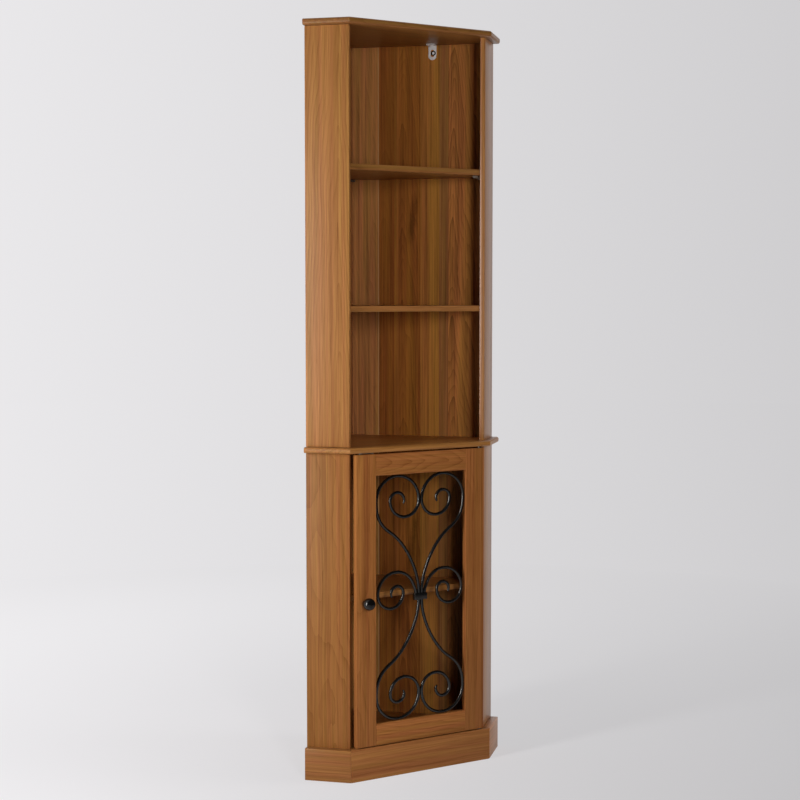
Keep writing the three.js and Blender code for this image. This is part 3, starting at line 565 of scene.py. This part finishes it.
# Corner posts and dowels. Bare pale wood that the finished cupboard hides: two L-shaped posts
# behind the back sheets, and round dowels in the middle shelf and in the door frame.
BARE_TONES = {"light": (0.66, 0.47, 0.27), "dark": (0.46, 0.29, 0.14)}
for level in ("upper", "lower"):
    node = level + "_corner_post"
    post = merged_copy(node)
    ease(post, SOFT_EDGE)
    bare = lacquered_wood(
        node + "_wood", UPRIGHT, (0.03, 0.1, 0.5), 1, **BARE_TONES, spacing=0.005
    )
    fitted(post, node + "_piece", "cabinet", "hidden_wood", bare, node)
dowel_wood = lacquered_wood("dowel_wood", LEVEL, (0, -0.2, 0.4), 1, **BARE_TONES, spacing=0.003)
for node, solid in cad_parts.items():
    if "dowel" in node:
        solid.material_slots[0].material = dowel_wood

# Door frame. Two stiles with upright grain run from top to bottom, and two rails with level grain
# are glued between them on dowels. The edges are only just broken. Each has its grain's turn and
# heart, the spacing and taper of its year rings, and how strong they are.
DOOR_TONES = {"light": (0.455, 0.174, 0.049), "dark": (0.212, 0.069, 0.015)}
DOOR_SHADE = 0.95
DOOR_EDGE = 0.0006
DOOR_BOARDS = {
    "door_left_stile": (UPRIGHT, (-0.17, -0.12, 0.4), 0.0075, 0.01, 0.8),
    "door_right_stile": (UPRIGHT, (0.12, -0.22, 0.4), 0.0075, 0.02, 0.8),
    "door_top_rail": (LEVEL, (0.1, -0.135, 0.762), 0.0052, 0.05, 1.2),
    "door_bottom_rail": (LEVEL, (0, -0.25, 0.06), 0.0052, 0.02, 1),
}
for node, (turn, heart, spacing, taper, figure) in DOOR_BOARDS.items():
    board = merged_copy(node)
    ease(board, DOOR_EDGE)
    wood = lacquered_wood(
        node + "_wood", turn, heart, DOOR_SHADE, **DOOR_TONES,
        spacing=spacing, taper=taper, figure=figure,
    )
    fitted(board, node + "_piece", "door", "door_wood", wood, node)

# Scrolls. Two long rods of round iron, each wound into a spiral at both ends, with a wave between
# them that runs to the middle; and two side curls. They are bent cold and painted black. Their
# lines are drawn in the door's plane, out from its middle and up from the collar.
scroll_low, scroll_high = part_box("scroll_left")
collar_low, collar_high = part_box("scroll_collar")
ROD_RADIUS = (scroll_high.y - scroll_low.y) / 2
DOOR_Y = (scroll_low.y + scroll_high.y) / 2
DOOR_Z = (scroll_low.z + scroll_high.z) / 2
COLLAR_HEIGHT = collar_high.z - collar_low.z
ROD_OUTER = 0.1252
ROD_INNER = ROD_RADIUS - scroll_high.x
SPIRAL_RADIUS = (ROD_OUTER - ROD_INNER) / 2
SPIRAL_SHARES = (1, 0.673, 0.328, 0.171)
SPIRAL_TAIL = 0.87
SPIRAL_RISE = 0.237575
WAVE_OUT = 0.602 * ROD_OUTER
WAVE_RISE = 0.648 * SPIRAL_RISE
WAVE_SLOPE = 0.673
CURL_RADIUS = 0.416 * ROD_OUTER
CURL_MIDDLE = Vector((0.5475 * ROD_OUTER, 0.011))
CURL_SHARES = (0.693, 0.333, 0.286)
CURL_TAIL = 0.66
CURL_ENTRY = 2.705
CURL_FOOT = -0.008
CURL_BEND_BELOW = 0.0016
CURL_LEAVING = 0.009
CURL_ARRIVING = 0.008
POINT_STEP = 0.0022
POINT_TURN = 0.12
END_WIDTH = 0.62
END_TAPER = 0.016
END_ROUND = 0.0016


def arc(x, z, radius, start, end):
    """Points on an arc, without its first one"""
    turn = abs(end - start)
    count = max(8, math.ceil(turn * radius / POINT_STEP), math.ceil(turn / POINT_TURN))
    angles = [start + (end - start) * step / count for step in range(1, count + 1)]
    return [Vector((x + radius * math.cos(angle), z + radius * math.sin(angle))) for angle in angles]


def sweep(first, pull, push, last):
    """Points on an easy bend between two points, without the first one"""
    count = max(8, math.ceil((last - first).length / POINT_STEP))
    points = []
    for step in range(1, count + 1):
        t = step / count
        left = 1 - t
        point = first * left**3 + pull * 3 * t * left**2
        points.append(point + push * 3 * t * t * left + last * t**3)
    return points


def spiral(outer, rise, radii, spin, tail):
    """Half turns from the outermost point inwards, the last one short"""
    points = [Vector((outer, rise))]
    start = outer
    for index, radius in enumerate(radii):
        inwards = -1 if index % 2 == 0 else 1
        middle = start + inwards * radius
        turn = tail if index == len(radii) - 1 else math.pi
        begin = spin * math.pi * index
        points += arc(middle, rise, radius, begin, begin + spin * turn)
        start = middle + inwards * radius
    return points


def main_half():
    """From the spiral's inner end through the wave to the middle"""
    radii = [share * SPIRAL_RADIUS for share in SPIRAL_SHARES]
    points = spiral(ROD_OUTER, SPIRAL_RISE, radii, 1, SPIRAL_TAIL)[::-1]
    bend = Vector((WAVE_OUT, WAVE_RISE))
    way = Vector((-math.cos(WAVE_SLOPE), -math.sin(WAVE_SLOPE)))
    straight = COLLAR_HEIGHT / 2
    points += sweep(
        Vector((ROD_OUTER, SPIRAL_RISE)),
        Vector((ROD_OUTER, SPIRAL_RISE * (1 - 0.242))),
        bend - way * 0.174 * ROD_OUTER,
        bend,
    )
    points += sweep(
        bend,
        bend + way * 0.356 * ROD_OUTER,
        Vector((ROD_INNER, straight + 0.231 * SPIRAL_RISE)),
        Vector((ROD_INNER, straight)),
    )
    return points


def curl_line():
    """From the foot in the collar up and over, then round inside itself"""
    foot = ROD_INNER * 3
    leave = Vector((foot, COLLAR_HEIGHT / 2 - CURL_BEND_BELOW))
    outwards = Vector((math.cos(CURL_ENTRY), math.sin(CURL_ENTRY)))
    entry = CURL_MIDDLE + outwards * CURL_RADIUS
    way = Vector((outwards.y, -outwards.x))
    points = [Vector((foot, CURL_FOOT)), leave]
    up = Vector((0, CURL_LEAVING))
    points += sweep(leave, leave + up, entry - way * CURL_ARRIVING, entry)
    points += arc(CURL_MIDDLE.x, CURL_MIDDLE.y, CURL_RADIUS, CURL_ENTRY, 0)
    radii = [share * CURL_RADIUS for share in CURL_SHARES]
    points += spiral(CURL_MIDDLE.x + CURL_RADIUS, CURL_MIDDLE.y, radii, -1, CURL_TAIL)[1:]
    return points


def bent_rod(name, side, points, ends):
    """A round rod along the points, thinned towards each of its free ends"""
    bpy.ops.object.select_all(action="DESELECT")
    bpy.ops.curve.primitive_bezier_curve_add()
    rod = bpy.context.object
    rod.name = name
    line = rod.data
    line.dimensions = "3D"
    line.splines.clear()
    path = line.splines.new("POLY")
    path.points.add(len(points) - 1)
    total = sum((b - a).length for a, b in zip(points, points[1:]))
    passed = 0
    for index, (point, knot) in enumerate(zip(points, path.points)):
        if index:
            passed += (point - points[index - 1]).length
        knot.co = (side * point.x, DOOR_Y, DOOR_Z + point.y, 1)
        width = 1
        for end, place in ((0, passed), (1, total - passed)):
            if end in ends:
                width = min(width, END_WIDTH + (1 - END_WIDTH) * min(1, place / END_TAPER))
                if place < END_ROUND:
                    width *= math.sqrt(max(0.05, 1 - (1 - place / END_ROUND) ** 2))
        knot.radius = width
    line.bevel_depth = ROD_RADIUS
    line.bevel_resolution = 4
    line.use_fill_caps = True
    bpy.ops.object.convert(target="MESH")
    rod = bpy.context.object
    bpy.ops.object.shade_smooth()
    return rod


def forged_paint(name, roughness, gloss):
    """Black paint on iron, a little uneven"""
    paint = Finish(name)
    at = paint.place()
    blotch = paint.noise(at, (90, 90, 90), 3)
    grit = paint.noise(at, (1400, 1400, 1400), 2)
    colour = paint.blend(blotch, (0.002, 0.002, 0.002), (0.006, 0.0055, 0.005))
    return paint.surface(
        Base_Color=colour,
        Roughness=roughness + 0.08 * (blotch - 0.5),
        Normal=paint.bump(0.03, 0.0002, blotch + grit * 0.02),
        Specular_IOR_Level=gloss,
        Specular_Tint=(1, 0.93, 0.86, 1),
        Coat_Weight=0.3,
        Coat_Roughness=0.15,
    )


rod_paint = forged_paint("rod_paint", 0.24, 0.7)
upper_half = main_half()
lower_half = [Vector((point.x, -point.y)) for point in reversed(upper_half)]
for side, way in (("left", -1), ("right", 1)):
    rod = bent_rod("scroll", way, upper_half + lower_half, (0, 1))
    fitted(rod, f"scroll_{side}_rod", "door", "black_iron", rod_paint, f"scroll_{side}")
    curl = bent_rod("curl", way, curl_line(), (1,))
    fitted(curl, f"side_curl_{side}_rod", "door", "black_iron", rod_paint, f"side_curl_{side}")

# Collar. An iron band closed round the four rods where they meet, crimped so that its middle bulges
# a little, and painted with them.
collar = merged_copy("scroll_collar")
ease(collar, 0.0005, 3, 0.001)
fitted(collar, "scroll_collar_band", "door", "black_iron", rod_paint, "scroll_collar")

# Knob. A cast ball on a short stem, glossy black, pulled to the left stile by a screw from behind.
# The stem grows from the cut ball in steps, each a length and how much wider or narrower it ends.
KNOB_RADIUS = 0.015
STEM_STEPS = ((0.0009, 0.86), (0.0011, 0.97), (0.0006, 1.35), (0.0003, 1.05))
knob_low, knob_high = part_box("door_knob")
knob_x = (knob_low.x + knob_high.x) / 2
knob_z = (knob_low.z + knob_high.z) / 2
bpy.ops.object.select_all(action="DESELECT")
bpy.ops.mesh.primitive_uv_sphere_add(
    segments=48,
    ring_count=32,
    radius=KNOB_RADIUS,
    location=(knob_x, knob_low.y + KNOB_RADIUS, knob_z),
    rotation=(math.radians(90), 0, 0),
)
knob = bpy.context.object
bpy.ops.object.transform_apply(location=True, rotation=True, scale=True)
stem_start = knob_low.y + 1.87 * KNOB_RADIUS
bpy.ops.object.mode_set(mode="EDIT")
bpy.ops.mesh.bisect(plane_co=(knob_x, stem_start, knob_z), plane_no=(0, 1, 0), clear_outer=True)
for shift, scale in STEM_STEPS:
    bpy.ops.mesh.extrude_edges_move()
    bpy.ops.transform.translate(value=(0, shift, 0))
    bpy.ops.transform.resize(value=(scale, 1, scale), center_override=(knob_x, 0, knob_z))
bpy.ops.mesh.edge_face_add()
bpy.ops.mesh.select_all(action="SELECT")
bpy.ops.mesh.normals_make_consistent(inside=False)
bpy.ops.object.mode_set(mode="OBJECT")
bpy.ops.object.shade_smooth_by_angle(angle=math.radians(50), keep_sharp_edges=False)
knob_gloss = forged_paint("knob_gloss", 0.12, 0.3)
fitted(knob, "door_knob_ball", "door", "black_iron", knob_gloss, "door_knob")

# Shelf supports. Grey-brown plastic pegs pushed into bores, with a half-round head whose flat top
# carries the shelf.
SMALL_EDGE = 0.0003
SMALL_LENGTH = 0.0005
SMALL_ANGLE = 35
plastic = Finish("support_plastic")
at = plastic.place()
cloud = plastic.noise(at, (60, 60, 60), 2)
support_plastic = plastic.surface(
    Base_Color=plastic.blend(cloud, (0.1, 0.075, 0.055), (0.14, 0.105, 0.08)),
    Roughness=0.34 + 0.12 * cloud,
)
for node in list(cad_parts):
    if "_support_" in node:
        support = merged_copy(node)
        ease(support, SMALL_EDGE, 2, SMALL_LENGTH, SMALL_ANGLE)
        fitted(support, node + "_peg", "cabinet", "brown_plastic", support_plastic, node)

# Wall bracket, its screw and the catch's plate. The bracket is an angle bent from steel strip and
# screwed up into the top board; the plate lies flat on the door's back. All are zinc-plated.
zinc = Finish("zinc")
at = zinc.place()
cloud = zinc.noise(at, (120, 120, 120), 3)
brushed = zinc.noise(at, (900, 900, 60), 2)
# The near-white, barely metallic colour is partly the plating's pale tone, partly painted reflection
zinc_plate = zinc.surface(
    Base_Color=zinc.blend(cloud, (0.93, 0.93, 0.94), (0.98, 0.98, 0.97)),
    Metallic=0.05,
    Roughness=0.26 + 0.14 * brushed,
)
PLATES = {"wall_bracket": "cabinet", "bracket_screw": "cabinet", "catch_plate": "door"}
for node, body in PLATES.items():
    plate = merged_copy(node)
    ease(plate, SMALL_EDGE, 2, SMALL_LENGTH, SMALL_ANGLE)
    fitted(plate, node + "_piece", body, "zinc_plate", zinc_plate, node)

# Wall screw. A pan-head screw holds the bracket's slot to the wall. The black disc under its head
# is painted shade, which darkens the slot round the screw where the sheet behind is shaded. The
# screw is the head of the bracket's own screw, cut off its shank, made a little wider and turned to
# the wall, and set in from the bracket's rear top corner.
HEAD_HEIGHT = 0.003
HEAD_SCALE = (1.1, 1.1, 0.9)
SHADE_DISC_RADIUS = 0.0062
SHADE_DISC_THICKNESS = 0.0009
SHADE_DISC_BEHIND = 0.0005
WALL_SCREW_INSET = Vector((0.007689, 0.011317, 0.02))
wall_screw = merged_copy("bracket_screw")
screw_low, screw_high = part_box("bracket_screw")
screw_place = ((screw_low.x + screw_high.x) / 2, (screw_low.y + screw_high.y) / 2, screw_low.z)
wall_screw_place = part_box("wall_bracket")[1] - WALL_SCREW_INSET
alone(wall_screw)
bpy.ops.object.mode_set(mode="EDIT")
bpy.ops.mesh.select_all(action="SELECT")
bpy.ops.mesh.bisect(
    plane_co=(0, 0, screw_low.z + HEAD_HEIGHT), plane_no=(0, 0, 1), clear_outer=True, use_fill=True
)
bpy.ops.mesh.select_all(action="SELECT")
bpy.ops.transform.resize(value=HEAD_SCALE, center_override=screw_place)
bpy.ops.transform.rotate(value=math.radians(-90), orient_axis="Y", center_override=screw_place)
bpy.ops.transform.rotate(value=math.radians(-45), orient_axis="Z", center_override=screw_place)
bpy.ops.transform.translate(value=wall_screw_place - Vector(screw_place))
bpy.ops.object.mode_set(mode="OBJECT")
ease(wall_screw, SMALL_EDGE, 2, SMALL_LENGTH, SMALL_ANGLE)
fitted(wall_screw, "wall_screw_head", "cabinet", "zinc_plate", zinc_plate)
bpy.ops.object.select_all(action="DESELECT")
# The black disc is painted shade in the bracket's slot, not a real washer
bpy.ops.mesh.primitive_cylinder_add(
    vertices=48,
    radius=SHADE_DISC_RADIUS,
    depth=SHADE_DISC_THICKNESS,
    location=wall_screw_place + Vector((1, 1, 0)).normalized() * SHADE_DISC_BEHIND,
    rotation=(math.radians(90), 0, math.radians(-45)),
)
shade_disc = bpy.context.object
bpy.ops.object.transform_apply(location=True, rotation=True, scale=True)
ease(shade_disc, CRISP_EDGE, 2, 0.0002, SMALL_ANGLE)
fitted(shade_disc, "wall_screw_shade_disc", "cabinet", "black_iron", rod_paint)

# Catch. A body moulded from beige plastic and screwed to the underside of the waist board. The bar
# magnet in its front holds the door by its plate.
moulded = Finish("catch_plastic")
at = moulded.place()
cloud = moulded.noise(at, (300, 300, 300), 2)
catch_plastic = moulded.surface(
    Base_Color=moulded.blend(cloud, (0.33, 0.29, 0.22), (0.42, 0.38, 0.3)),
    Roughness=0.4 + 0.15 * cloud,
)
catch = merged_copy("magnetic_catch")
ease(catch, 2 * SMALL_EDGE, 2, SMALL_LENGTH, SMALL_ANGLE)
fitted(catch, "magnetic_catch_body", "cabinet", "beige_plastic", catch_plastic, "magnetic_catch")

# Pins, magnet, knob's screw and bushes. The pins and the screw are turned from bright steel, and
# the bushes of the door's pivot pins from brass. All are hidden when the door is shut.
steel = Finish("turned_steel")
at = steel.place()
turned = steel.noise(at, (40, 40, 2600), 2)
turned_steel = steel.surface(
    Base_Color=steel.blend(turned, (0.2, 0.19, 0.18), (0.3, 0.285, 0.27)),
    Metallic=1,
    Roughness=0.32 + 0.2 * turned,
)
brass = Finish("turned_brass")
at = brass.place()
turned = brass.noise(at, (40, 40, 2600), 2)
turned_brass = brass.surface(
    Base_Color=brass.blend(turned, (0.6, 0.42, 0.16), (0.75, 0.56, 0.27)),
    Metallic=1,
    Roughness=0.24 + 0.2 * turned,
)
for node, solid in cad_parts.items():
    if "bush" in node:
        solid.material_slots[0].material = turned_brass
    elif "_pin_" in node or node in ("catch_magnet", "knob_screw"):
        solid.material_slots[0].material = turned_steel
